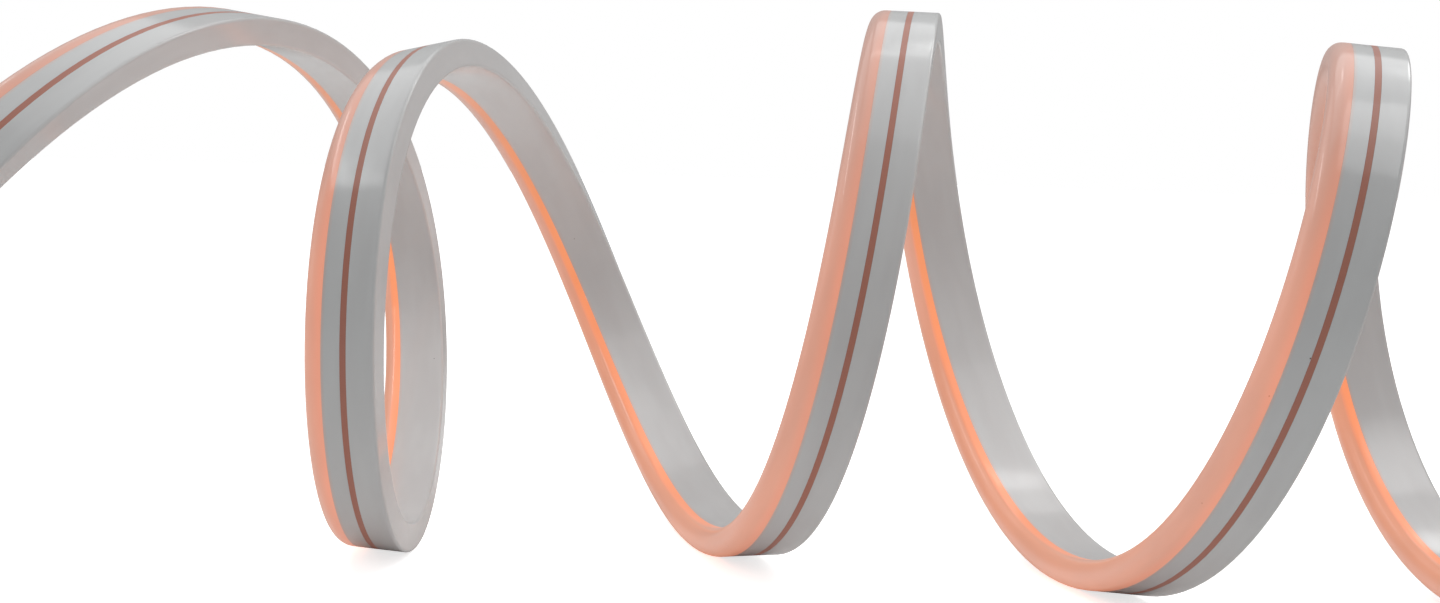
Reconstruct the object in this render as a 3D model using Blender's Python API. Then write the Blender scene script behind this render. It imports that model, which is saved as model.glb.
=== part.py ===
"""Led neon flex: a two metre length of slim, side-bending silicone neon flex.

The flex is one extrusion, 12 mm wide and 5 mm thick, that is wound the flat way into a loose, stretched
coil. The coil lies on its side: it runs along X, every turn touches the floor at z = 0, and the light
comes out of the domed edge, on the -X side. Blender units are metres, and the sizes below are millimetres.
"""

from dataclasses import dataclass
import math

import bmesh
import bpy
import numpy as np

MM = 0.001

# Section of the flex: u runs across it, from the domed edge (-) to the base (+), and v points out of the coil
WIDTH = 12.0
THICKNESS = 5.0
LENGTH = 2000.0
BASE_CORNER_RADIUS = 0.5
DOME_FLAT = 0.2
DOME_CORNER_RADIUS = (THICKNESS - DOME_FLAT) / 2.0
DIFFUSER_DEPTH = 3.4
CLEARANCE = 0.3

# Marker stripe, let into the face that looks out of the coil
STRIPE_WIDTH = 1.0
STRIPE_DEPTH = 0.4
STRIPE_FROM_DOME = 7.0

# Circuit strip, standing in a channel behind the diffuser
CIRCUIT_WIDTH = 2.4
CIRCUIT_THICKNESS = 0.9
LIGHT_CHAMBER_DEPTH = 1.2

# How finely the coil and its rounded corners are cut; the corners' steps are in degrees
SECTIONS_PER_TURN = 36
BASE_ROUNDING_STEP = 45.0
DOME_ROUNDING_STEP = 22.5
PATH_STEPS_PER_SECTION = 6


@dataclass(frozen=True)
class Turn:
    """One turn of the coil: up the front, over the top, down the back. Places are of the centre line."""

    bottom: tuple  # x and y where it touches the floor
    front: tuple   # x, and how far it reaches forward of the coil's middle
    top: tuple     # x, y, and how far it rises above the bottom
    back: tuple    # x, and how far it reaches behind the coil's middle
    twist: tuple   # degrees that the flex is rolled about itself, at the bottom and at the top


TURNS = (
    Turn(bottom=(-262, 0), front=(-248, 56), top=(-234, 2, 78), back=(-212, 60), twist=(0, 0)),
    Turn(bottom=(-182.5, 4), front=(-123, 80), top=(-84.5, 14, 87), back=(-66, 76), twist=(-5, 9)),
    Turn(bottom=(-56.5, 10), front=(-55, 57), top=(-50, 18, 82.5), back=(-29.5, 76), twist=(-3, -13)),
    Turn(bottom=(2, 17), front=(23, 58), top=(32, 23, 91), back=(41.5, 53), twist=(5, 1)),
    Turn(bottom=(64, -7), front=(87.5, 52), top=(103.5, -19, 85.5), back=(113, 52), twist=(-3, 4)),
    Turn(bottom=(128, -25), front=(150, 47), top=(166, -24, 81), back=(178, 45), twist=(-5, -4)),
)


def smooth(values, spacing, at):
    """Natural cubic spline through evenly spaced values, the first at 0, going on straight past its ends."""
    values = np.asarray(values, dtype=float)
    last = len(values) - 1
    system = np.eye(last + 1) * 4.0
    system[0, 0] = system[last, last] = 1.0
    for row in range(1, last):
        system[row, row - 1] = system[row, row + 1] = 1.0
    bends = np.zeros(last + 1)
    bends[1:-1] = 6.0 * (values[2:] - 2.0 * values[1:-1] + values[:-2])
    bends = np.linalg.solve(system, bends)

    place = np.asarray(at, dtype=float) / spacing
    inside = np.clip(place, 0.0, last)
    span = np.minimum(inside.astype(int), last - 1)
    b = inside - span
    a = 1.0 - b
    value = a * values[span] + b * values[span + 1]
    value += ((a**3 - a) * bends[span] + (b**3 - b) * bends[span + 1]) / 6.0
    first_slope = values[1] - values[0] - bends[1] / 6.0
    last_slope = values[-1] - values[-2] + bends[-2] / 6.0
    return value + np.minimum(place, 0.0) * first_slope + np.maximum(place - last, 0.0) * last_slope


def standing_height(twist):
    """Height of the centre line over the floor, where the flex stands on it rolled by a few degrees."""
    roll = math.radians(twist)
    corner = DOME_CORNER_RADIUS if roll > 0.0 else BASE_CORNER_RADIUS
    across, up = WIDTH / 2.0 - corner, THICKNESS / 2.0 - corner
    return across * abs(math.sin(roll)) + up * math.cos(roll) + corner


def centre_line(angle):
    """Centre line of the flex in millimetres, at angles in radians counted from the first turn's bottom."""
    quarter, half = math.pi / 2.0, math.pi
    x = smooth([v for t in TURNS for v in (t.bottom[0], t.front[0], t.top[0], t.back[0])], quarter, angle)
    middle = smooth([v for t in TURNS for v in (t.bottom[1], t.top[1])], half, angle)
    reach = smooth([v for t in TURNS for v in (t.front[1], t.back[1])], half, angle - quarter)
    rise = smooth([t.top[2] for t in TURNS], 2.0 * half, angle - half)
    standing = smooth([standing_height(t.twist[0]) for t in TURNS], 2.0 * half, angle)
    y = middle - reach * np.sin(angle)
    z = standing + rise * (1.0 - np.cos(angle)) / 2.0
    return np.stack([x, y, z], axis=1)


def section_angles():
    """Angles of the sections: evenly spaced round the turns, and the last where the length runs out."""
    step = 2.0 * math.pi / SECTIONS_PER_TURN
    fine = step / PATH_STEPS_PER_SECTION
    angle, run, angles = 0.0, 0.0, [0.0]
    here = centre_line(np.array([0.0]))[0]
    while True:
        ahead = centre_line(np.array([angle + fine]))[0]
        piece = float(np.linalg.norm(ahead - here))
        if run + piece >= LENGTH:
            angles.append(angle + fine * (LENGTH - run) / piece)
            break
        angle, run, here = angle + fine, run + piece, ahead
        if len(angles) * step <= angle + fine / 2.0:
            angles.append(len(angles) * step)
    if angles[-1] - angles[-2] < step / 4.0:
        del angles[-2]
    return np.array(angles)


def flex_frames(angle):
    """Centre, u direction and v direction of the section at each angle."""
    nudge = 1e-4
    along = centre_line(angle + nudge) - centre_line(angle - nudge)
    along /= np.linalg.norm(along, axis=1)[:, None]
    out = np.stack([np.zeros_like(angle), -np.sin(angle), -np.cos(angle)], axis=1)
    out -= (out * along).sum(axis=1)[:, None] * along
    out /= np.linalg.norm(out, axis=1)[:, None]
    across = np.cross(along, out)
    roll = np.radians(smooth([v for t in TURNS for v in t.twist], math.pi, angle))[:, None]
    turned_out = out * np.cos(roll) + across * np.sin(roll)
    turned_across = across * np.cos(roll) - out * np.sin(roll)
    return centre_line(angle), turned_across, turned_out


def arc(u, v, radius, start_degrees, step_degrees):
    """Points of a quarter circle round (u, v), turning to the left from its start."""
    steps = max(1, round(90.0 / step_degrees))
    angles = [math.radians(start_degrees + 90.0 * k / steps) for k in range(steps + 1)]
    return [(u + radius * math.cos(a), v + radius * math.sin(a)) for a in angles]


def housing_outline():
    """White housing: square at the seam, rounded at the base, with the stripe's groove and the channel."""
    seam = -WIDTH / 2.0 + DIFFUSER_DEPTH + CLEARANCE / 2.0
    base, face = WIDTH / 2.0, THICKNESS / 2.0
    channel_side = CIRCUIT_WIDTH / 2.0 + CLEARANCE
    channel_end = seam + LIGHT_CHAMBER_DEPTH + CIRCUIT_THICKNESS + CLEARANCE
    channel = [(seam, channel_side), (channel_end, channel_side)]
    channel += [(channel_end, -channel_side), (seam, -channel_side)]
    stripe = -WIDTH / 2.0 + STRIPE_FROM_DOME
    groove_side = STRIPE_WIDTH / 2.0 + CLEARANCE
    groove_floor = face - STRIPE_DEPTH - CLEARANCE
    r = BASE_CORNER_RADIUS
    points = channel + [(seam, -face)]
    points += arc(base - r, -face + r, r, 270.0, BASE_ROUNDING_STEP)
    points += arc(base - r, face - r, r, 0.0, BASE_ROUNDING_STEP)
    points += [(stripe + groove_side, face), (stripe + groove_side, groove_floor)]
    points += [(stripe - groove_side, groove_floor), (stripe - groove_side, face), (seam, face)]
    return points


def diffuser_outline():
    """Translucent diffuser: flat at the seam, with a domed edge."""
    seam = -WIDTH / 2.0 + DIFFUSER_DEPTH - CLEARANCE / 2.0
    tip, face, r = -WIDTH / 2.0, THICKNESS / 2.0, DOME_CORNER_RADIUS
    points = [(seam, -face), (seam, face)]
    points += arc(tip + r, face - r, r, 90.0, DOME_ROUNDING_STEP)
    points += arc(tip + r, -face + r, r, 180.0, DOME_ROUNDING_STEP)
    return points


def stripe_outline():
    """Marker stripe: a flat bar, flush with the outer face."""
    middle, face = -WIDTH / 2.0 + STRIPE_FROM_DOME, THICKNESS / 2.0
    low, high = middle - STRIPE_WIDTH / 2.0, middle + STRIPE_WIDTH / 2.0
    return [(low, face - STRIPE_DEPTH), (high, face - STRIPE_DEPTH), (high, face), (low, face)]


def circuit_outline():
    """Circuit strip: the outline of its board and light chips, standing at the end of its channel."""
    front = -WIDTH / 2.0 + DIFFUSER_DEPTH + CLEARANCE / 2.0 + LIGHT_CHAMBER_DEPTH
    back, side = front + CIRCUIT_THICKNESS, CIRCUIT_WIDTH / 2.0
    return [(front, -side), (back, -side), (back, side), (front, side)]


def sweep(name, outline, frames, shift, material):
    """Runs a closed outline along the coil, closes both ends, and adds the result as an object."""
    mesh = bpy.data.meshes.new(name)
    body = bmesh.new()
    rings = []
    for centre, across, out in zip(*frames):
        rings.append([body.verts.new((centre + u * across + v * out + shift) * MM) for u, v in outline])
    count = len(outline)
    for near, far in zip(rings, rings[1:]):
        for k in range(count):
            after = (k + 1) % count
            body.faces.new((near[k], near[after], far[after], far[k]))
    body.faces.new(rings[0][::-1])
    body.faces.new(rings[-1])
    bmesh.ops.recalc_face_normals(body, faces=body.faces[:])
    bmesh.ops.triangulate(body, faces=body.faces[:])
    body.to_mesh(mesh)
    body.free()
    mesh.shade_smooth()
    mesh.set_sharp_from_angle(angle=math.radians(30.0))
    mesh.materials.append(material)
    piece = bpy.data.objects.new(name, mesh)
    bpy.context.scene.collection.objects.link(piece)
    return piece


def silicone(name, colour, roughness, glow=0.0):
    """Principled material with a plain colour; a glow makes it give out light of its own colour."""
    material = bpy.data.materials.new(name)
    material.use_nodes = True
    shader = material.node_tree.nodes["Principled BSDF"]
    shader.inputs["Base Color"].default_value = (*colour, 1.0)
    shader.inputs["Roughness"].default_value = roughness
    shader.inputs["Metallic"].default_value = 0.0
    shader.inputs["Emission Color"].default_value = (*colour, 1.0)
    shader.inputs["Emission Strength"].default_value = glow
    return material


def coil_shift(frames):
    """Shift that puts the middle of the coil's length and depth over the origin."""
    centre, across, out = frames
    corners = [(u, v) for u in (-WIDTH / 2.0, WIDTH / 2.0) for v in (-THICKNESS / 2.0, THICKNESS / 2.0)]
    reached = np.concatenate([centre + u * across + v * out for u, v in corners])
    middle = (reached.min(axis=0) + reached.max(axis=0)) / 2.0
    return np.array([-middle[0], -middle[1], 0.0])


def main():
    """Clears the scene and builds the four co-extruded or inserted parts of the flex."""
    for old in list(bpy.data.objects):
        bpy.data.objects.remove(old)
    frames = flex_frames(section_angles())
    shift = coil_shift(frames)
    white = silicone("white_silicone", (0.74, 0.74, 0.73), 0.42)
    orange = silicone("orange_silicone", (0.93, 0.50, 0.36), 0.35, glow=0.4)
    marker = silicone("marker_silicone", (0.62, 0.27, 0.19), 0.45)
    board = silicone("circuit_board", (0.80, 0.79, 0.74), 0.50)
    sweep("silicone_housing", housing_outline(), frames, shift, white)
    sweep("light_diffuser", diffuser_outline(), frames, shift, orange)
    sweep("marker_stripe", stripe_outline(), frames, shift, marker)
    sweep("led_circuit_strip", circuit_outline(), frames, shift, board)


main()
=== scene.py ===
"""Looks of the led neon flex: a lit, co-extruded silicone strip that lies on a floor as a stretched coil.

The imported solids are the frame. The silicone pieces are swept again along the same coil with a finer section,
and the light circuit, which shows at the two cut ends, gets its board, tracks, light chips and resistors. The
flex's sizes are in millimetres and the studio's in metres, and everything that reaches Blender is in metres.
"""

from __future__ import annotations

from collections.abc import Sequence
from dataclasses import dataclass, field
from enum import Enum
import logging
import math

import bmesh
import bpy
from mathutils import Matrix, Vector
import numpy as np

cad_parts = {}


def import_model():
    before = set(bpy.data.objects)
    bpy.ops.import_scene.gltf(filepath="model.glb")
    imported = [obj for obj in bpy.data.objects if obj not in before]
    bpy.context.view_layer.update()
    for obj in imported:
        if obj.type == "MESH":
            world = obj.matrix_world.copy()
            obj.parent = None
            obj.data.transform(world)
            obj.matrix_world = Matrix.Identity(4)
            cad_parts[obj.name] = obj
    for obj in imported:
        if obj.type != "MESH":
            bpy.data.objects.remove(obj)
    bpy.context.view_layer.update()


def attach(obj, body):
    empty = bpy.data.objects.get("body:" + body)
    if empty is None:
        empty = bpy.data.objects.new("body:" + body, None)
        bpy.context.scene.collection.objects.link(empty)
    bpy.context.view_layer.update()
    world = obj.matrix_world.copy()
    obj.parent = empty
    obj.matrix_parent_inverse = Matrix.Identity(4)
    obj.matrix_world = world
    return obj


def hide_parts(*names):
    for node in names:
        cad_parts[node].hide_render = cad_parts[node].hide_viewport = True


LOG = logging.getLogger("neon_flex")
MM = 0.001
BODY = "root"

Point = tuple[float, float]
Span = tuple[float, float]
Triple = tuple[float, float, float]
Colour = tuple[float, float, float]
Object = bpy.types.Object
Material = bpy.types.Material
NodeTree = bpy.types.NodeTree
Socket = bpy.types.NodeSocket
WHITE: Colour = (1.0, 1.0, 1.0)


class Slot(Enum):
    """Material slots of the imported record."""

    WHITE = "white_silicone"
    ORANGE = "orange_silicone"
    MARKER = "marker_silicone"
    BOARD = "circuit_board"


class Flank(Enum):
    """Side of the section that a sign of v stands for."""

    OUTER = 1.0
    INNER = -1.0


@dataclass(frozen=True)
class Turn:
    """One turn of the coil in millimetres: up the front, over the top and down the back.

    bottom and top start with x and y, and top goes on with the rise. front and back are x and the reach in y.
    twist is the roll of the section in degrees, at the bottom and at the top.
    """

    bottom: Point
    front: Point
    top: Triple
    back: Point
    twist: Point


TURNS = (
    Turn(bottom=(-262, 0), front=(-248, 56), top=(-234, 2, 78), back=(-212, 60), twist=(0, 0)),
    Turn(bottom=(-182.5, 4), front=(-123, 80), top=(-84.5, 14, 87), back=(-66, 76), twist=(-5, 9)),
    Turn(bottom=(-56.5, 10), front=(-55, 57), top=(-50, 18, 82.5), back=(-29.5, 76), twist=(-3, -13)),
    Turn(bottom=(2, 17), front=(23, 58), top=(32, 23, 91), back=(41.5, 53), twist=(5, 1)),
    Turn(bottom=(64, -7), front=(87.5, 52), top=(103.5, -19, 85.5), back=(113, 52), twist=(-3, 4)),
    Turn(bottom=(128, -25), front=(150, 47), top=(166, -24, 81), back=(178, 45), twist=(-5, -4)),
)


def arc(centre: Point, radius: float, start_degrees: float, steps: int) -> list[Point]:
    """Points of a quarter circle that turns to the left.

    Args:
        centre: u and v of the circle's middle, in millimetres.
        radius: radius in millimetres.
        start_degrees: where the quarter starts, counted from +u towards +v.
        steps: straight pieces that stand for the arc.

    Returns:
        The arc's points, both ends included.
    """
    angles = [math.radians(start_degrees + 90.0 * k / steps) for k in range(steps + 1)]
    return [(centre[0] + radius * math.cos(a), centre[1] + radius * math.sin(a)) for a in angles]


@dataclass(frozen=True)
class FlexSection:
    """Section of the flex in millimetres.

    u runs from the domed edge to the base, and v from the coil's inside outwards.
    """

    width: float = 12.0
    thickness: float = 5.0
    base_corner: float = 0.5
    dome_flat: float = 0.2
    diffuser_depth: float = 3.4
    seam_gap: float = 0.02
    stripe_width: float = 1.0
    stripe_depth: float = 0.4
    stripe_from_dome: float = 7.0
    circuit_width: float = 2.4
    circuit_thickness: float = 0.9
    board_thickness: float = 0.22
    chamber_depth: float = 1.2
    clearance: float = 0.3
    flat_hold: float = 0.15
    corner_steps: int = 4
    dome_steps: int = 10

    @property
    def dome_corner(self) -> float:
        """Radius of the lit edge's two rounded corners."""
        return (self.thickness - self.dome_flat) / 2.0

    @property
    def seam(self) -> float:
        """Place across the width where the diffuser meets the housing."""
        return -self.width / 2.0 + self.diffuser_depth

    @property
    def chips_front(self) -> float:
        """Place across the width where the light chips' faces stand."""
        return self.seam + self.clearance / 2.0 + self.chamber_depth

    @property
    def board_front(self) -> float:
        """Place across the width where the board's chip side lies."""
        return self.chips_front + self.circuit_thickness - self.board_thickness

    def housing(self) -> list[Point]:
        """Outline of the white housing, with the light channel, the stripe's groove and flats beside corners.

        Returns:
            The outline's points.
        """
        seam = self.seam + self.seam_gap / 2.0
        base, face, r = self.width / 2.0, self.thickness / 2.0, self.base_corner
        side = self.circuit_width / 2.0 + self.clearance
        end = self.chips_front + self.circuit_thickness + self.clearance
        stripe = -self.width / 2.0 + self.stripe_from_dome
        groove = self.stripe_width / 2.0 + self.seam_gap
        floor = face - self.stripe_depth - self.seam_gap
        near, high = base - r - self.flat_hold, face - r - self.flat_hold
        points = [(seam, side), (end, side), (end, -side), (seam, -side), (seam, -face), (near, -face)]
        points += arc((base - r, -face + r), r, 270.0, self.corner_steps)
        points += [(base, -high), (base, high)]
        points += arc((base - r, face - r), r, 0.0, self.corner_steps)
        points += [(near, face), (stripe + groove, face), (stripe + groove, floor)]
        points += [(stripe - groove, floor), (stripe - groove, face), (seam, face)]
        return points

    def diffuser(self) -> list[Point]:
        """Outline of the translucent diffuser, flat at the seam and domed at the lit edge.

        Returns:
            The outline's points.
        """
        seam = self.seam - self.seam_gap / 2.0
        tip, face, r = -self.width / 2.0, self.thickness / 2.0, self.dome_corner
        sides = (seam + tip + r) / 2.0
        points = [(seam, -face), (seam, face), (sides, face)]
        points += arc((tip + r, face - r), r, 90.0, self.dome_steps)
        points += arc((tip + r, -face + r), r, 180.0, self.dome_steps)
        points += [(sides, -face)]
        return points

    def stripe(self) -> list[Point]:
        """Outline of the marker stripe, flush with the outer face.

        Returns:
            The outline's points.
        """
        middle, face = -self.width / 2.0 + self.stripe_from_dome, self.thickness / 2.0
        low, high = middle - self.stripe_width / 2.0, middle + self.stripe_width / 2.0
        return [(low, face - self.stripe_depth), (high, face - self.stripe_depth), (high, face), (low, face)]

    @staticmethod
    def bar(front: float, depth: float, low: float, high: float) -> list[Point]:
        """Outline of a flat bar that starts at front, is depth deep in u, and goes from low to high in v."""
        return [(front, low), (front + depth, low), (front + depth, high), (front, high)]


@dataclass(frozen=True)
class CoilPath:
    """Centre line of the flex, as splines through the turns' places, in millimetres."""

    section: FlexSection
    turns: tuple[Turn, ...] = TURNS
    length: float = 2000.0
    sections_per_turn: int = 108
    frame_sections_per_turn: int = 36
    length_steps: int = 40000

    @staticmethod
    def smooth(values: Sequence[float], spacing: float, at: np.ndarray) -> np.ndarray:
        """Natural cubic spline through evenly spaced values, going on straight past its ends.

        Args:
            values: what the spline passes through; the first value is at 0.
            spacing: distance between two values.
            at: places to read.

        Returns:
            The spline's value at each place.
        """
        values = np.asarray(values, dtype=float)
        last = len(values) - 1
        system = np.eye(last + 1) * 4.0
        system[0, 0] = system[last, last] = 1.0
        for row in range(1, last):
            system[row, row - 1] = system[row, row + 1] = 1.0
        bends = np.zeros(last + 1)
        bends[1:-1] = 6.0 * (values[2:] - 2.0 * values[1:-1] + values[:-2])
        bends = np.linalg.solve(system, bends)

        place = np.asarray(at, dtype=float) / spacing
        inside = np.clip(place, 0.0, last)
        span = np.minimum(inside.astype(int), last - 1)
        b = inside - span
        a = 1.0 - b
        value = a * values[span] + b * values[span + 1]
        value += ((a**3 - a) * bends[span] + (b**3 - b) * bends[span + 1]) / 6.0
        first_slope = values[1] - values[0] - bends[1] / 6.0
        last_slope = values[-1] - values[-2] + bends[-2] / 6.0
        return value + np.minimum(place, 0.0) * first_slope + np.maximum(place - last, 0.0) * last_slope

    def standing_height(self, twist: float) -> float:
        """Height of the centre line over the floor where the twisted section touches it.

        Args:
            twist: roll of the section about the flex, in degrees.

        Returns:
            The height in millimetres.
        """
        s = self.section
        roll = math.radians(twist)
        corner = s.dome_corner if roll > 0.0 else s.base_corner
        across, up = s.width / 2.0 - corner, s.thickness / 2.0 - corner
        return across * abs(math.sin(roll)) + up * math.cos(roll) + corner

    def centre_line(self, angle: np.ndarray) -> np.ndarray:
        """Centre line of the flex.

        Args:
            angle: angles in radians, counted from the first turn's bottom.

        Returns:
            The places in millimetres, before the coil's shift.
        """
        quarter, half = math.pi / 2.0, math.pi
        along = [v for t in self.turns for v in (t.bottom[0], t.front[0], t.top[0], t.back[0])]
        x = self.smooth(along, quarter, angle)
        middle = self.smooth([v for t in self.turns for v in (t.bottom[1], t.top[1])], half, angle)
        reach = self.smooth([v for t in self.turns for v in (t.front[1], t.back[1])], half, angle - quarter)
        rise = self.smooth([t.top[2] for t in self.turns], 2.0 * half, angle - half)
        standing = self.smooth([self.standing_height(t.twist[0]) for t in self.turns], 2.0 * half, angle)
        y = middle - reach * np.sin(angle)
        z = standing + rise * (1.0 - np.cos(angle)) / 2.0
        return np.stack([x, y, z], axis=1)

    def angles(self, per_turn: int) -> np.ndarray:
        """Angles of the sections.

        Args:
            per_turn: sections in one turn.

        Returns:
            Evenly spaced angles, and the one where the flex's length runs out.
        """
        fine = np.linspace(0.0, 2.0 * math.pi * len(self.turns), self.length_steps)
        steps = np.linalg.norm(np.diff(self.centre_line(fine), axis=0), axis=1)
        end = float(np.interp(self.length, np.concatenate([[0.0], np.cumsum(steps)]), fine))
        step = 2.0 * math.pi / per_turn
        even = np.arange(0.0, end - step / 4.0, step)
        return np.append(even, end)

    def frames(self, angle: np.ndarray) -> tuple[np.ndarray, np.ndarray, np.ndarray]:
        """Section frames.

        Args:
            angle: angles of the sections.

        Returns:
            The centres, the directions of u and the directions of v.
        """
        nudge = 1e-4
        along = self.centre_line(angle + nudge) - self.centre_line(angle - nudge)
        along /= np.linalg.norm(along, axis=1)[:, None]
        out = np.stack([np.zeros_like(angle), -np.sin(angle), -np.cos(angle)], axis=1)
        out -= (out * along).sum(axis=1)[:, None] * along
        out /= np.linalg.norm(out, axis=1)[:, None]
        across = np.cross(along, out)
        twists = [v for t in self.turns for v in t.twist]
        roll = np.radians(self.smooth(twists, math.pi, angle))[:, None]
        turned_out = out * np.cos(roll) + across * np.sin(roll)
        turned_across = across * np.cos(roll) - out * np.sin(roll)
        return self.centre_line(angle), turned_across, turned_out

    def shift(self) -> np.ndarray:
        """Move that brings the coil's middle over the origin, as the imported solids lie.

        Returns:
            The move in millimetres.
        """
        centre, across, out = self.frames(self.angles(self.frame_sections_per_turn))
        half_width, half_thickness = self.section.width / 2.0, self.section.thickness / 2.0
        corners = [(u, v) for u in (-half_width, half_width) for v in (-half_thickness, half_thickness)]
        reached = np.concatenate([centre + u * across + v * out for u, v in corners])
        middle = (reached.min(axis=0) + reached.max(axis=0)) / 2.0
        return np.array([-middle[0], -middle[1], 0.0])


@dataclass
class Graph:
    """A node tree, with short calls that add and join its nodes."""

    tree: NodeTree

    def add(self, kind: str, settings: dict | None = None, **inputs: object) -> bpy.types.Node:
        """Adds a node.

        Args:
            kind: Blender's name of the node's type.
            settings: the node's own properties.
            **inputs: value or source by the socket's name, with _ for a space, or by i and its number.

        Returns:
            The new node.
        """
        node = self.tree.nodes.new(kind)
        for name, value in (settings or {}).items():
            setattr(node, name, value)
        for name, value in inputs.items():
            key = int(name[1:]) if name[0] == "i" and name[1:].isdigit() else name.replace("_", " ")
            self.feed(node.inputs[key], value)
        return node

    def feed(self, socket: Socket, value: object) -> None:
        """Joins a source to a socket, or sets the socket's own value.

        Args:
            socket: the input.
            value: another node's output, or a plain value.
        """
        if isinstance(value, Socket):
            self.tree.links.new(value, socket)
        else:
            socket.default_value = value

    def maths(self, operation: str, *values: object) -> Socket:
        """Adds a Math node.

        Args:
            operation: Blender's name of the operation.
            *values: values or sources.

        Returns:
            The result's socket.
        """
        node = self.add("ShaderNodeMath", {"operation": operation})
        for socket, value in zip(node.inputs, values):
            self.feed(socket, value)
        return node.outputs[0]

    def times(self, vector: Socket, factors: Triple) -> Socket:
        """The vector with each of its parts multiplied."""
        return self.add("ShaderNodeVectorMath", {"operation": "MULTIPLY"}, i0=vector, i1=factors).outputs[0]

    def ramp(self, value: object, low: float, high: float, start: float = 0.0, end: float = 1.0) -> Socket:
        """Smooth change from start to end while the value goes from low to high.

        Args:
            value: what is read.
            low: value at which the change begins.
            high: value at which it is complete.
            start: result below low.
            end: result above high.

        Returns:
            The result's socket.
        """
        node = self.add("ShaderNodeMapRange", {"interpolation_type": "SMOOTHSTEP"}, Value=value,
                        From_Min=low, From_Max=high, To_Min=start, To_Max=end)
        return node.outputs["Result"]

    def blend(self, share: object, first: object, second: object) -> Socket:
        """Mixes two colours.

        Args:
            share: 0 for the first colour, 1 for the second.
            first: colour or source.
            second: colour or source.

        Returns:
            The mixed colour's socket.
        """
        node = self.add("ShaderNodeMix", {"data_type": "RGBA"}, Factor=share)
        for socket, value in zip((s for s in node.inputs if s.type == "RGBA"), (first, second)):
            self.feed(socket, value)
        return next(s for s in node.outputs if s.type == "RGBA")


def rgba(colour: Colour) -> tuple[float, float, float, float]:
    """The colour with full alpha."""
    return (*colour, 1.0)


def new_material(name: str) -> tuple[Material, Graph]:
    """Makes a material that has no nodes yet.

    Args:
        name: its name.

    Returns:
        The material and its graph.
    """
    material = bpy.data.materials.new(name)
    material.use_nodes = True
    material.node_tree.nodes.clear()
    return material, Graph(material.node_tree)


def new_object(name: str, data: bpy.types.ID) -> Object:
    """Makes an object in the scene.

    Args:
        name: its name.
        data: its mesh, light or camera.

    Returns:
        The object.
    """
    made = bpy.data.objects.new(name, data)
    bpy.context.scene.collection.objects.link(made)
    return made


def mesh_object(name: str, body: bmesh.types.BMesh) -> Object:
    """Makes an object of a mesh in the making, and frees that.

    Args:
        name: the object's name.
        body: the mesh in the making.

    Returns:
        The object.
    """
    mesh = bpy.data.meshes.new(name)
    body.to_mesh(mesh)
    body.free()
    return new_object(name, mesh)


def group_socket(tree: NodeTree, name: str, kind: str, output: bool = False) -> str:
    """Adds a socket to a node group's interface.

    Args:
        tree: the node group.
        name: the socket's name.
        kind: Blender's name of the socket's type.
        output: True for a result of the group.

    Returns:
        The socket's identifier.
    """
    way = "OUTPUT" if output else "INPUT"
    return tree.interface.new_socket(name=name, in_out=way, socket_type=kind).identifier


@dataclass
class PathTree:
    """What the Geometry Nodes trees share. Each makes a piece along a stretch of the flex's path."""

    name: str
    sockets: dict[str, str] = field(default_factory=dict)
    tree: NodeTree | None = None

    def begin(self, own: dict[str, str]) -> tuple[Graph, bpy.types.NodeOutputs, Socket, Socket]:
        """Starts the tree: its inputs, whose identifiers are kept by name in sockets, and the cut path.

        Args:
            own: names of the inputs that only this tree has, with Blender's name of each socket's type.

        Returns:
            The graph, the inputs, the stretch of the path as a curve, and the direction out of the coil.
        """
        self.tree = bpy.data.node_groups.new(self.name, "GeometryNodeTree")
        group_socket(self.tree, "Path", "NodeSocketGeometry")
        shared = {"Start": "NodeSocketFloat", "Reach": "NodeSocketFloat", "Finish": "NodeSocketMaterial"}
        for name, kind in (own | shared).items():
            self.sockets[name] = group_socket(self.tree, name, kind)
        group_socket(self.tree, "Piece", "NodeSocketGeometry", output=True)
        g = Graph(self.tree)
        given = g.add("NodeGroupInput").outputs
        path = g.add("GeometryNodeMeshToCurve", Mesh=given["Path"])
        end = g.maths("ADD", given["Start"], given["Reach"])
        cut = g.add("GeometryNodeTrimCurve", {"mode": "LENGTH"}, Curve=path.outputs["Curve"])
        lengths = (s for s in cut.inputs if s.enabled and s.type == "VALUE")
        for socket, value in zip(lengths, (given["Start"], end)):
            g.feed(socket, value)
        return g, given, cut.outputs["Curve"], self.read(g, "section_out", "FLOAT_VECTOR")

    @staticmethod
    def read(g: Graph, name: str, kind: str = "FLOAT") -> Socket:
        """The path's or the outline's attribute of that name."""
        return g.add("GeometryNodeInputNamedAttribute", {"data_type": kind}, Name=name).outputs["Attribute"]

    @staticmethod
    def end(g: Graph, given: bpy.types.NodeOutputs, made: Socket) -> None:
        """Turns what was made into real geometry with its finish.

        Args:
            g: the tree's graph.
            given: the tree's inputs.
            made: what was made.
        """
        real = g.add("GeometryNodeRealizeInstances", Geometry=made).outputs["Geometry"]
        dressed = g.add("GeometryNodeSetMaterial", Geometry=real, Material=given["Finish"])
        g.add("NodeGroupOutput", Piece=dressed.outputs["Geometry"])


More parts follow.
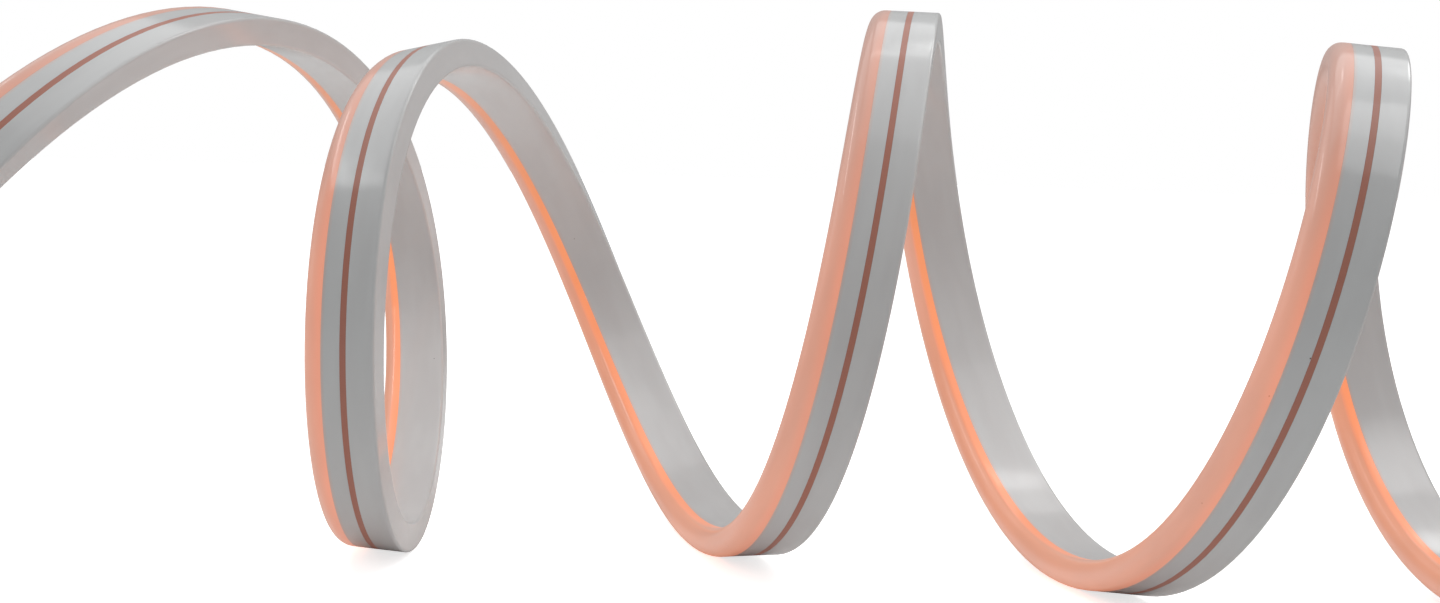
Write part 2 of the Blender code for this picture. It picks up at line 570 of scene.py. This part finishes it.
@dataclass
class ExtrusionTree(PathTree):
    """Geometry Nodes tree that runs an outline along the flex's path and closes its ends."""

    name: str = "extrusion_along_flex"

    def build(self) -> None:
        """Builds the tree, which also marks each point with its run, u and v in millimetres."""
        g, given, curve, outward = self.begin({"Outline": "NodeSocketObject"})
        turned = g.add("GeometryNodeSetCurveNormal", {"mode": "FREE"}, Curve=curve, Normal=outward)
        shape = g.add("GeometryNodeObjectInfo", Object=given["Outline"])
        outline = g.add("GeometryNodeMeshToCurve", Mesh=shape.outputs["Geometry"])
        swept = g.add("GeometryNodeCurveToMesh", Curve=turned.outputs["Curve"],
                      Profile_Curve=outline.outputs["Curve"], Fill_Caps=True)
        place = g.add("ShaderNodeCombineXYZ", X=self.read(g, "flex_run"), Y=self.read(g, "flex_u"),
                      Z=self.read(g, "flex_v"))
        marked = g.add("GeometryNodeStoreNamedAttribute", {"data_type": "FLOAT_VECTOR", "domain": "POINT"},
                       Geometry=swept.outputs["Mesh"], Name="flex_place", Value=place.outputs["Vector"])
        self.end(g, given, marked.outputs["Geometry"])


@dataclass
class RepeatTree(PathTree):
    """Geometry Nodes tree that sets copies of a small part along the flex, turned with its section."""

    name: str = "parts_along_flex"

    def build(self) -> None:
        """Builds the tree."""
        g, given, curve, outward = self.begin({"Part": "NodeSocketObject", "Spacing": "NodeSocketFloat"})
        even = g.add("GeometryNodeResampleCurve", {"mode": "LENGTH"}, Curve=curve, Length=given["Spacing"])
        along = g.add("GeometryNodeInputTangent")
        facing = g.add("FunctionNodeAxesToRotation", {"primary_axis": "Z", "secondary_axis": "Y"},
                       Primary_Axis=along.outputs["Tangent"], Secondary_Axis=outward)
        part = g.add("GeometryNodeObjectInfo", Object=given["Part"])
        copies = g.add("GeometryNodeInstanceOnPoints", Points=even.outputs["Curve"],
                       Instance=part.outputs["Geometry"], Rotation=facing.outputs["Rotation"])
        self.end(g, given, copies.outputs["Instances"])


@dataclass
class FlexWorkshop:
    """Makes plain meshes along the flex with the two trees."""

    path: CoilPath
    extrusion: ExtrusionTree = field(default_factory=ExtrusionTree)
    repeat: RepeatTree = field(default_factory=RepeatTree)
    sharp_degrees: float = 40.0

    def __post_init__(self) -> None:
        """Builds the trees."""
        self.extrusion.build()
        self.repeat.build()

    def path_object(self) -> Object:
        """The flex's centre line as a run of edges in metres.

        Returns:
            The run's object, whose points know the direction out of the coil and their run in millimetres.
        """
        centre, _, out = self.path.frames(self.path.angles(self.path.sections_per_turn))
        centre = centre + self.path.shift()
        run = np.concatenate([[0.0], np.cumsum(np.linalg.norm(np.diff(centre, axis=0), axis=1))])
        mesh = bpy.data.meshes.new("flex_path")
        mesh.from_pydata((centre * MM).tolist(), [(k, k + 1) for k in range(len(centre) - 1)], [])
        outward = mesh.attributes.new("section_out", "FLOAT_VECTOR", "POINT")
        outward.data.foreach_set("vector", out.astype(np.float32).ravel())
        mesh.attributes.new("flex_run", "FLOAT", "POINT").data.foreach_set("value", run.astype(np.float32))
        return new_object("flex_path", mesh)

    def outline_object(self, points: list[Point]) -> Object:
        """The outline as a ring of edges, laid so that the sweep's faces point outwards.

        Args:
            points: u and v of the outline in millimetres, in either direction.

        Returns:
            The ring's object, whose x is v and whose y is u.
        """
        area = sum(a[0] * b[1] - b[0] * a[1] for a, b in zip(points, points[1:] + points[:1]))
        ring = points[::-1] if area > 0.0 else points
        mesh = bpy.data.meshes.new("outline")
        count = len(ring)
        edges = [(k, (k + 1) % count) for k in range(count)]
        mesh.from_pydata([(v * MM, u * MM, 0.0) for u, v in ring], edges, [])
        for name, index in (("flex_u", 0), ("flex_v", 1)):
            mesh.attributes.new(name, "FLOAT", "POINT").data.foreach_set("value", [p[index] for p in ring])
        return new_object("outline", mesh)

    def bake(self, name: str, plan: PathTree, values: dict[str, object]) -> Object:
        """Runs a tree on the path and keeps what it makes as a plain mesh.

        Args:
            name: the piece's name.
            plan: the built tree.
            values: the tree's inputs by name.

        Returns:
            The piece.
        """
        host = self.path_object()
        modifier = host.modifiers.new(name, "NODES")
        modifier.node_group = plan.tree
        for key, value in values.items():
            modifier[plan.sockets[key]] = value
        bpy.context.view_layer.update()
        ready = host.evaluated_get(bpy.context.evaluated_depsgraph_get())
        mesh = bpy.data.meshes.new_from_object(ready)
        mesh.name = name
        host.modifiers.remove(modifier)
        guides = [v for v in values.values() if isinstance(v, Object)]
        for guide in (host, *guides):
            bpy.data.objects.remove(guide)
        mesh.shade_smooth()
        mesh.set_sharp_from_angle(angle=math.radians(self.sharp_degrees))
        return new_object(name, mesh)

    def extrude(self, name: str, points: list[Point], finish: Material) -> Object:
        """Runs an outline along the flex, from end to end.

        Args:
            name: the piece's name.
            points: the outline, u and v in millimetres.
            finish: its material.

        Returns:
            The piece.
        """
        past_the_end = 2.0 * self.path.length * MM
        return self.bake(name, self.extrusion, {
            "Outline": self.outline_object(points), "Start": 0.0, "Reach": past_the_end, "Finish": finish})

    def repeat_part(self, name: str, part: Object, finish: Material, start: float, spacing: float) -> Object:
        """Sets copies of a part along the flex.

        Args:
            name: the piece's name.
            part: the small part, modelled with x along -u, y along v and z along the flex.
            finish: its material.
            start: distance of the first copy, and at least of the last, from the flex's ends, in millimetres.
            spacing: distance between two copies, in millimetres.

        Returns:
            The piece.
        """
        reach = math.floor((self.path.length - 2.0 * start) / spacing) * spacing
        sizes = {"Start": start * MM, "Reach": reach * MM, "Spacing": spacing * MM}
        return self.bake(name, self.repeat, {"Part": part, "Finish": finish, **sizes})


@dataclass(frozen=True)
class SkinEffects:
    """Shader node group that all silicone shares: soft waves, drawing lines, fine grain and dust specks.

    The patterns' counts are per millimetre along, across and through the flex.
    """

    name: str = "silicone_skin"
    wave_counts: Triple = (0.16, 0.30, 0.30)
    line_counts: Triple = (0.01, 3.2, 3.2)
    grain_counts: Triple = (7.0, 7.0, 7.0)
    patch_counts: Triple = (0.05, 0.25, 0.25)
    dust_counts: Triple = (0.45, 0.45, 0.45)
    speck_edge: Span = (0.035, 0.07)
    speck_share: float = 0.06

    def build(self) -> NodeTree:
        """Builds the group, which reads a place in millimetres along, across and through the flex.

        Returns:
            The group, which puts out a height in millimetres, a dust mask and a sheen variation.
        """
        tree = bpy.data.node_groups.new(self.name, "ShaderNodeTree")
        group_socket(tree, "Place", "NodeSocketVector")
        for name in ("Wave Height", "Line Height", "Grain Height", "Dust"):
            group_socket(tree, name, "NodeSocketFloat")
        for name in ("Height", "Dust Mask", "Sheen Change"):
            group_socket(tree, name, "NodeSocketFloat", output=True)
        g = Graph(tree)
        given = g.add("NodeGroupInput").outputs
        place = given["Place"]
        wave = self.noise(g, place, self.wave_counts, 1.0)
        line = self.noise(g, place, self.line_counts)
        grain = self.noise(g, place, self.grain_counts)
        height = g.maths("MULTIPLY", wave, given["Wave Height"])
        height = g.maths("MULTIPLY_ADD", line, given["Line Height"], height)
        height = g.maths("MULTIPLY_ADD", grain, given["Grain Height"], height)
        spread = g.times(place, self.dust_counts)
        cells = g.add("ShaderNodeTexVoronoi", {"feature": "F1"}, Vector=spread, Scale=1.0)
        near = g.ramp(cells.outputs["Distance"], *self.speck_edge, 1.0, 0.0)
        lot = g.add("ShaderNodeSeparateColor", Color=cells.outputs["Color"]).outputs[0]
        few = g.maths("LESS_THAN", lot, g.maths("MULTIPLY", given["Dust"], self.speck_share))
        g.add("NodeGroupOutput", Height=height, Dust_Mask=g.maths("MULTIPLY", near, few),
              Sheen_Change=g.maths("SUBTRACT", self.noise(g, place, self.patch_counts), 0.5))
        return tree

    @staticmethod
    def noise(g: Graph, place: Socket, counts: Triple, detail: float = 2.0) -> Socket:
        """Adds a noise texture.

        Args:
            g: the group's graph.
            place: place in millimetres.
            counts: bumps per millimetre along, across and through the flex.
            detail: finer layers.

        Returns:
            The noise's socket, around 0.5.
        """
        return g.add("ShaderNodeTexNoise", Vector=g.times(place, counts), Scale=1.0, Detail=detail).outputs[0]


@dataclass(frozen=True)
class StartedFinish:
    """A material in the making: its graph and shader, its place in u and v, and its dust and sheen masks."""

    material: Material
    graph: Graph
    shader: bpy.types.Node
    u: Socket
    v: Socket
    dust: Socket
    sheen: Socket


@dataclass(frozen=True)
class SiliconeFinish:
    """What the three silicone colours share: a satin surface over the skin effects."""

    name: str
    colour: Colour
    roughness: float = 0.5
    roughness_change: float = 0.16
    ior: float = 1.41
    specular: float = 0.35
    coat: float = 1.0
    coat_roughness: float = 0.14
    coat_ior: float = 1.45
    wave_mm: float = 0.03
    line_mm: float = 0.0015
    grain_mm: float = 0.001
    dust: float = 0.5
    dust_colour: Colour = (0.16, 0.14, 0.13)

    def start(self, skin: NodeTree) -> StartedFinish:
        """Makes the material, its shader and its surface effects.

        Args:
            skin: the shared group of skin effects.

        Returns:
            The material in the making.
        """
        material, g = new_material(self.name)
        place = g.add("ShaderNodeAttribute", {"attribute_name": "flex_place"}).outputs["Vector"]
        effects = g.add("ShaderNodeGroup", {"node_tree": skin}, Place=place, Wave_Height=self.wave_mm,
                        Line_Height=self.line_mm, Grain_Height=self.grain_mm, Dust=self.dust).outputs
        bump = g.add("ShaderNodeBump", Strength=1.0, Distance=MM, Height=effects["Height"])
        sheen = g.maths("MULTIPLY_ADD", effects["Sheen Change"], self.roughness_change, self.roughness)
        shader = g.add("ShaderNodeBsdfPrincipled", Roughness=sheen, Normal=bump.outputs["Normal"])
        fixed = {"IOR": self.ior, "Specular IOR Level": self.specular, "Coat Weight": self.coat,
                 "Coat Roughness": self.coat_roughness, "Coat IOR": self.coat_ior}
        for name, value in fixed.items():
            shader.inputs[name].default_value = value
        g.feed(shader.inputs["Coat Normal"], bump.outputs["Normal"])
        g.add("ShaderNodeOutputMaterial", Surface=shader.outputs["BSDF"])
        parts = g.add("ShaderNodeSeparateXYZ", Vector=place).outputs
        return StartedFinish(material, g, shader, parts["Y"], parts["Z"], effects["Dust Mask"],
                             effects["Sheen Change"])

    def paint(self, at: StartedFinish, colour: object) -> None:
        """Gives the shader its colour, with a few specks of dust on it."""
        at.graph.feed(at.shader.inputs["Base Color"], at.graph.blend(at.dust, colour, rgba(self.dust_colour)))

    def build(self, skin: NodeTree, section: FlexSection) -> Material:
        """Makes the plain finish, which is the same all over the section.

        Args:
            skin: the shared group of skin effects.
            section: the flex's section; not used.

        Returns:
            The material.
        """
        at = self.start(skin)
        self.paint(at, rgba(self.colour))
        return at.material


@dataclass(frozen=True)
class WhiteSilicone(SiliconeFinish):
    """Opaque white silicone, warmed near the seam by light that leaks through it."""

    name: str = "white_silicone_skin"
    colour: Colour = (0.745, 0.755, 0.755)
    shade: Colour = (0.715, 0.72, 0.72)
    shade_change: Span = (-0.15, 0.15)
    leak_colour: Colour = (0.95, 0.55, 0.42)
    leak_mm: float = 0.7
    leak_share: float = 0.30

    def build(self, skin: NodeTree, section: FlexSection) -> Material:
        """Makes the finish.

        Args:
            skin: the shared group of skin effects.
            section: the flex's section, for the seam's place.

        Returns:
            The material.
        """
        at = self.start(skin)
        g = at.graph
        mottled = g.blend(g.ramp(at.sheen, *self.shade_change), rgba(self.colour), rgba(self.shade))
        leak = g.ramp(at.u, section.seam, section.seam + self.leak_mm, self.leak_share, 0.0)
        self.paint(at, g.blend(leak, mottled, rgba(self.leak_colour)))
        return at.material


@dataclass(frozen=True)
class LitDiffuser(SiliconeFinish):
    """Translucent diffuser, lit from its root: deep orange at the seam, where its glow is also painted into the
    base colour, deep orange low on its inside by painted shade, and paler high up by a painted wash-out of its
    glow under the studio light.

    Bands are millimetres before the seam, sides are shares of the thickness from its middle outwards, and
    heights are metres over the floor. The glow of the dome's tip lights other pieces and isn't seen itself.
    """

    name: str = "orange_diffuser_skin"
    colour: Colour = (0.38, 0.345, 0.335)
    seam_glow_tint: Colour = (0.39, 0.34, 0.31)
    line_glow_tint: Colour = (0.35, 0.28, 0.21)
    low_inside_shade_colour: Colour = (0.38, 0.25, 0.20)
    roughness: float = 0.42
    coat: float = 0.65
    coat_roughness: float = 0.13
    dome_glow: Colour = (0.515, 0.175, 0.087)
    seam_glow: Colour = (0.59, 0.165, 0.075)
    line_glow: Colour = (0.76, 0.185, 0.045)
    seam_band: Span = (2.2, 0.2)
    line_band: Span = (1.8, 0.9)
    line_side: Span = (-0.5, -0.25)
    low_inside_shade_side: Span = (-0.3, 0.2)
    low_inside_shade_height: Span = (0.030, 0.052)
    painted_washout_height: Span = (0.046, 0.080)
    painted_washout_share: float = 0.30
    tip_half_width: float = 1.4
    tip_gain: float = 2.4
    uneven_change: Span = (-0.2, 0.2)
    uneven_level: Span = (0.94, 1.06)
    strength: float = 3.0

    def build(self, skin: NodeTree, section: FlexSection) -> Material:
        """Makes the finish.

        Args:
            skin: the shared group of skin effects.
            section: the flex's section, for the seam's place and the thickness.

        Returns:
            The material.
        """
        at = self.start(skin)
        g = at.graph
        band = g.ramp(at.u, *(section.seam - edge for edge in self.seam_band))
        line = g.ramp(at.u, *(section.seam - edge for edge in self.line_band))
        line = g.maths("MULTIPLY", line, self.inward(at, section, self.line_side))
        place = g.add("ShaderNodeTexCoord").outputs["Object"]
        height = g.add("ShaderNodeSeparateXYZ", Vector=place).outputs["Z"]
        # painted shade: low on the coil's inside, where less studio light falls, the base colour turns deep
        # orange
        low = g.ramp(height, *self.low_inside_shade_height, 1.0, 0.0)
        deep = g.maths("MULTIPLY", self.inward(at, section, self.low_inside_shade_side), low)
        # painted glow: the base colour near the seam and along the inner seam line is tinted towards the
        # light's orange
        base = g.blend(band, rgba(self.colour), rgba(self.seam_glow_tint))
        base = g.blend(line, base, rgba(self.line_glow_tint))
        self.paint(at, g.blend(deep, base, rgba(self.low_inside_shade_colour)))

        glow = g.blend(band, rgba(self.dome_glow), rgba(self.seam_glow))
        glow = g.blend(line, glow, rgba(self.line_glow))
        tip = g.ramp(g.maths("ABSOLUTE", at.v), 0.0, self.tip_half_width, self.tip_gain, 0.0)
        seen = g.add("ShaderNodeLightPath").outputs["Is Camera Ray"]
        tip = g.maths("MULTIPLY", tip, g.maths("SUBTRACT", 1.0, seen))
        uneven = g.ramp(at.sheen, *self.uneven_change, *self.uneven_level)
        level = g.maths("MULTIPLY", g.maths("ADD", tip, 1.0), uneven)
        # painted light: the glow dims high up, so the tops look paler, as where the studio light washes them
        # out
        painted_washout = g.ramp(height, *self.painted_washout_height, 1.0, 1.0 - self.painted_washout_share)
        level = g.maths("DIVIDE", g.maths("MULTIPLY", level, painted_washout), self.strength)
        lit = g.add("ShaderNodeVectorMath", {"operation": "SCALE"}, i0=glow, Scale=level)
        g.feed(at.shader.inputs["Emission Color"], lit.outputs[0])
        at.shader.inputs["Emission Strength"].default_value = self.strength
        return at.material

    @staticmethod
    def inward(at: StartedFinish, section: FlexSection, side: Span) -> Socket:
        """Mask that is 1 on the coil's inside and fades to 0 over a side."""
        return at.graph.ramp(at.v, *(edge * section.thickness for edge in side), 1.0, 0.0)


@dataclass(frozen=True)
class PlainFinish:
    """Finish of a small circuit part, with a fine mottle in its colour and roughness."""

    name: str
    colour: Colour
    mottle: Colour
    roughness: float = 0.5
    metallic: float = 0.0
    glow: float = 0.0
    grain_per_m: float = 2500.0
    grain_detail: float = 2.0
    mottle_edge: Span = (0.35, 0.65)
    roughness_change: float = 0.1

    def build(self) -> Material:
        """Makes the finish.

        Returns:
            The material.
        """
        material, g = new_material(self.name)
        place = g.add("ShaderNodeTexCoord").outputs["Object"]
        grain = g.add("ShaderNodeTexNoise", Vector=place, Scale=self.grain_per_m,
                      Detail=self.grain_detail).outputs[0]
        colour = g.blend(g.ramp(grain, *self.mottle_edge), rgba(self.colour), rgba(self.mottle))
        smoothest = self.roughness - self.roughness_change / 2.0
        rough = g.maths("MULTIPLY_ADD", grain, self.roughness_change, smoothest)
        shader = g.add("ShaderNodeBsdfPrincipled", Base_Color=colour, Roughness=rough, Metallic=self.metallic)
        if self.glow > 0.0:
            g.feed(shader.inputs["Emission Color"], colour)
            shader.inputs["Emission Strength"].default_value = self.glow
        g.add("ShaderNodeOutputMaterial", Surface=shader.outputs["BSDF"])
        return material


def hand_over(piece: Object, slot: Slot, *nodes: str) -> None:
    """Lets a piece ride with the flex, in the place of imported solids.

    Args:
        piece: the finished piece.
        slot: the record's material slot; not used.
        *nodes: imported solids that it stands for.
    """
    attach(piece, BODY)
    if nodes:
        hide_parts(*nodes)
    LOG.info("%s: %d faces", piece.name, len(piece.data.polygons))


@dataclass
class SiliconeExtrusion:
    """The co-extruded silicone: white housing, lit diffuser and marker stripe."""

    workshop: FlexWorkshop
    section: FlexSection
    skin: NodeTree
    white: WhiteSilicone = WhiteSilicone()
    orange: LitDiffuser = LitDiffuser()
    marker: SiliconeFinish = SiliconeFinish("marker_silicone_skin", (0.55, 0.225, 0.165), coat=0.3, dust=0.0)

    def build(self) -> None:
        """Builds and hands over the three extrusions."""
        jobs = (
            ("flex_housing", self.section.housing(), self.white, Slot.WHITE, "silicone_housing"),
            ("flex_diffuser", self.section.diffuser(), self.orange, Slot.ORANGE, "light_diffuser"),
            ("flex_marker_stripe", self.section.stripe(), self.marker, Slot.MARKER, "marker_stripe"),
        )
        for name, outline, finish, slot, node in jobs:
            piece = self.workshop.extrude(name, outline, finish.build(self.skin, self.section))
            hand_over(piece, slot, node)


@dataclass
class LightCircuit:
    """The circuit strip in its channel, in millimetres: board, copper tracks, light chips and resistors."""

    workshop: FlexWorkshop
    section: FlexSection
    chip_pitch: float = 8.0
    chip_size: Triple = (0.68, 1.6, 2.0)
    chip_bevel: float = 0.08
    window_share: float = 0.72
    window_proud: float = 0.04
    window_bevel: float = 0.06
    resistor_pitch: float = 48.0
    resistor_size: Triple = (0.4, 0.9, 1.7)
    resistor_bevel: float = 0.05
    end_inset: float = 4.0
    track_inset: float = 0.15
    track_width: float = 0.45
    track_depth: float = 0.06
    coating: PlainFinish = PlainFinish("board_coating", (0.82, 0.81, 0.77), (0.76, 0.75, 0.70), 0.42)
    copper: PlainFinish = PlainFinish("track_copper", (0.86, 0.47, 0.30), (0.70, 0.36, 0.22), 0.3,
                                      metallic=1.0)
    shell: PlainFinish = PlainFinish("chip_shell", (0.88, 0.87, 0.84), (0.82, 0.80, 0.76), 0.35)
    lit: PlainFinish = PlainFinish("chip_window", (1.0, 0.42, 0.16), (1.0, 0.36, 0.12), 0.3, glow=2.0)
    dark: PlainFinish = PlainFinish("resistor_body", (0.03, 0.03, 0.035), (0.05, 0.05, 0.055), 0.4)

    def block(self, name: str, size: Triple, bevel: float) -> Object:
        """A small block with bevelled edges that stands on the board.

        Args:
            name: its name.
            size: depth off the board, width across the board and length along it, in millimetres.
            bevel: width of its bevels in millimetres.

        Returns:
            The block's object.
        """
        depth, width, length = size
        body = bmesh.new()
        bmesh.ops.create_cube(body, size=1.0)
        bmesh.ops.scale(body, vec=Vector((depth, width, length)) * MM, verts=body.verts)
        bmesh.ops.bevel(body, geom=body.edges[:], offset=bevel * MM, segments=1, affect="EDGES")
        middle = -(self.section.board_front - depth / 2.0)
        bmesh.ops.translate(body, vec=Vector((middle * MM, 0.0, 0.0)), verts=body.verts)
        return mesh_object(name, body)

    def board(self) -> None:
        """Builds the board and the two copper tracks that show at its cut ends."""
        s = self.section
        half = s.circuit_width / 2.0
        outline = s.bar(s.board_front, s.board_thickness, -half, half)
        board = self.workshop.extrude("circuit_board", outline, self.coating.build())
        hand_over(board, Slot.BOARD, "led_circuit_strip")
        copper = self.copper.build()
        for flank in Flank:
            edge = flank.value * (half - self.track_inset)
            low, high = sorted((edge, edge - flank.value * self.track_width))
            outline = s.bar(s.board_front - self.track_depth, self.track_depth, low, high)
            track = self.workshop.extrude(f"copper_track_{flank.name.lower()}", outline, copper)
            hand_over(track, Slot.BOARD)

    def chips(self) -> None:
        """Builds the light chips, with their lit windows, and the resistors."""
        depth, width, length = self.chip_size
        start = self.end_inset + length / 2.0
        between = start + self.chip_pitch / 2.0
        body = self.block("chip", (depth - self.window_proud, width, length), self.chip_bevel)
        window = self.block("window", (depth, width * self.window_share, length * self.window_share),
                            self.window_bevel)
        resistor = self.block("resistor", self.resistor_size, self.resistor_bevel)
        jobs = (
            ("light_chips", body, self.shell, start, self.chip_pitch, Slot.BOARD),
            ("light_chip_windows", window, self.lit, start, self.chip_pitch, Slot.ORANGE),
            ("resistors", resistor, self.dark, between, self.resistor_pitch, Slot.BOARD),
        )
        for name, part, finish, first, pitch, slot in jobs:
            hand_over(self.workshop.repeat_part(name, part, finish.build(), first, pitch), slot)

    def build(self) -> None:
        """Builds the circuit."""
        self.board()
        self.chips()


@dataclass(frozen=True)
class PhotoCamera:
    """Camera that was fitted to the photograph, in the coil's millimetres before its shift."""

    focal_pixels: float = 2520.2
    picture_width: float = 1440.0
    distance: float = 428.2
    target: Triple = (1.29, 0.0, 45.23)
    yaw: float = -2.047
    pitch: float = -3.755
    roll: float = 1.756
    sensor_mm: float = 36.0
    clip_m: Span = (0.01, 100.0)

    def build(self, shift: np.ndarray) -> None:
        """Makes the camera and sets it as the scene's own.

        Args:
            shift: the coil's shift in millimetres.
        """
        yaw, pitch, roll = (math.radians(a) for a in (self.yaw, self.pitch, self.roll))
        ahead = Vector((math.sin(yaw) * math.cos(pitch), math.cos(yaw) * math.cos(pitch), math.sin(pitch)))
        level = Vector((math.cos(yaw), -math.sin(yaw), 0.0))
        upright = level.cross(ahead)
        right = level * math.cos(roll) + upright * math.sin(roll)
        up = upright * math.cos(roll) - level * math.sin(roll)
        eye = (Vector(self.target) + Vector(shift) - ahead * self.distance) * MM
        data = bpy.data.cameras.new("photo_camera")
        data.sensor_fit = "HORIZONTAL"
        data.sensor_width = self.sensor_mm
        data.lens = self.focal_pixels / self.picture_width * self.sensor_mm
        data.clip_start, data.clip_end = self.clip_m
        camera = new_object("photo_camera", data)
        camera.matrix_world = Matrix.Translation(eye) @ Matrix((right, up, -ahead)).transposed().to_4x4()
        bpy.context.scene.camera = camera


class LightOutline(Enum):
    """Outline of a studio light, as Blender names it."""

    RECTANGLE = "RECTANGLE"
    ELLIPSE = "ELLIPSE"


@dataclass(frozen=True)
class SoftLight:
    """A flat studio light round the coil, in metres, that faces a point and stays out of the view."""

    name: str
    place: Triple
    size: tuple[float, float]
    radiance: float
    target: Triple = (0.0, 0.0, 0.05)
    outline: LightOutline = LightOutline.RECTANGLE

    def build(self) -> None:
        """Makes the light, with the watts that its radiance and area need."""
        data = bpy.data.lights.new(self.name, "AREA")
        data.shape = self.outline.value
        data.size, data.size_y = self.size
        filled = math.pi / 4.0 if self.outline is LightOutline.ELLIPSE else 1.0
        data.energy = self.radiance * filled * self.size[0] * self.size[1] * math.pi
        light = new_object(self.name, data)
        light.location = self.place
        light.visible_camera = False
        aim = Vector(self.target) - Vector(self.place)
        light.rotation_euler = aim.to_track_quat("-Z", "Y").to_euler()


@dataclass
class Studio:
    """Plain pale floor, even surroundings and soft lights round the coil, in metres."""

    floor_radius: float = 4.0
    floor_sides: int = 96
    floor_colour: Colour = (0.82, 0.83, 0.83)
    floor_lift: float = 0.72
    floor_fade: Span = (0.22, 0.60)
    sky: float = 0.335
    lights: tuple[SoftLight, ...] = (
        SoftLight("top_left", (-0.24, 0.16, 0.34), (0.45, 0.46), 0.62, (-0.24, 0.16, 0.0)),
        SoftLight("top_right", (0.25, 0.16, 0.34), (0.45, 0.46), 0.84, (0.25, 0.16, 0.0)),
        SoftLight("left_strip", (-0.35, 0.08, 0.60), (0.06, 0.62), 5.4, (-0.35, 0.08, 0.0),
                  LightOutline.ELLIPSE),
        SoftLight("right_strip", (0.32, -0.06, 0.60), (0.09, 0.42), 2.3, (0.32, -0.06, 0.0),
                  LightOutline.ELLIPSE),
        SoftLight("back_tube", (0.06, 0.31, 0.60), (0.17, 0.022), 2.4, (0.06, 0.0, 0.05)),
        SoftLight("back_lamp", (0.155, 0.39, 0.60), (0.065, 0.11), 2.4, (0.09, 0.02, 0.01),
                  LightOutline.ELLIPSE),
        SoftLight("back_wall", (0.0, 1.60, 0.40), (3.00, 0.80), 0.06),
        SoftLight("right_back", (0.50, 0.60, 0.60), (0.20, 0.34), 2.0, outline=LightOutline.ELLIPSE),
        SoftLight("right_side", (0.80, 0.05, 0.35), (0.60, 0.50), 0.15),
        SoftLight("left_side", (-0.80, 0.0, 0.35), (0.60, 0.50), 0.45),
    )

    def floor(self) -> None:
        """Makes a wide round floor whose shade fades to the surroundings' white away from the coil."""
        body = bmesh.new()
        bmesh.ops.create_circle(body, cap_ends=True, segments=self.floor_sides, radius=self.floor_radius)
        floor = mesh_object("floor", body)
        floor.data.materials.append(self.floor_paint())

    def floor_paint(self) -> Material:
        """Pale matt paint, brightened for the view so that the floor meets the white surroundings.

        Returns:
            The material.
        """
        material, g = new_material("floor_paint")
        place = g.add("ShaderNodeTexCoord").outputs["Object"]
        away = g.add("ShaderNodeVectorMath", {"operation": "LENGTH"}, i0=place).outputs["Value"]
        matt = g.add("ShaderNodeBsdfDiffuse", Color=rgba(self.floor_colour))
        near = g.ramp(away, *self.floor_fade, self.floor_lift, 1.0)
        lift = g.add("ShaderNodeEmission", Color=rgba(WHITE), Strength=near)
        bright = g.add("ShaderNodeAddShader", i0=matt.outputs[0], i1=lift.outputs[0])
        seen = g.add("ShaderNodeLightPath").outputs["Is Camera Ray"]
        mixed = g.add("ShaderNodeMixShader", i0=seen, i1=matt.outputs[0], i2=bright.outputs[0])
        g.add("ShaderNodeOutputMaterial", Surface=mixed.outputs[0])
        return material

    def surroundings(self) -> None:
        """Makes the surroundings, white for the view and an even grey for the light."""
        world = bpy.data.worlds.new("surroundings")
        bpy.context.scene.world = world
        world.use_nodes = True
        world.node_tree.nodes.clear()
        g = Graph(world.node_tree)
        light = g.add("ShaderNodeBackground", Color=rgba(WHITE), Strength=self.sky)
        white = g.add("ShaderNodeBackground", Color=rgba(WHITE), Strength=1.0)
        seen = g.add("ShaderNodeLightPath").outputs["Is Camera Ray"]
        mixed = g.add("ShaderNodeMixShader", i0=seen, i1=light.outputs[0], i2=white.outputs[0])
        g.add("ShaderNodeOutputWorld", Surface=mixed.outputs[0])

    def build(self) -> None:
        """Builds the studio and shows colours as they are, with no film look."""
        self.floor()
        self.surroundings()
        for light in self.lights:
            light.build()
        bpy.context.scene.view_settings.view_transform = "Standard"


def corners(box: tuple[Vector, Vector]) -> list[list[float]]:
    """A box's two corners as plain lists."""
    return [list(corner) for corner in box]


def main() -> None:
    """Loads the frame, dresses it and sets up the studio."""
    logging.basicConfig(level=logging.INFO, format="%(name)s: %(message)s")
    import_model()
    section = FlexSection()
    path = CoilPath(section)
    workshop = FlexWorkshop(path)
    skin = SkinEffects().build()
    SiliconeExtrusion(workshop, section, skin).build()
    LightCircuit(workshop, section).build()
    Studio().build()
    PhotoCamera().build(path.shift())


if __name__ == "__main__":
    main()
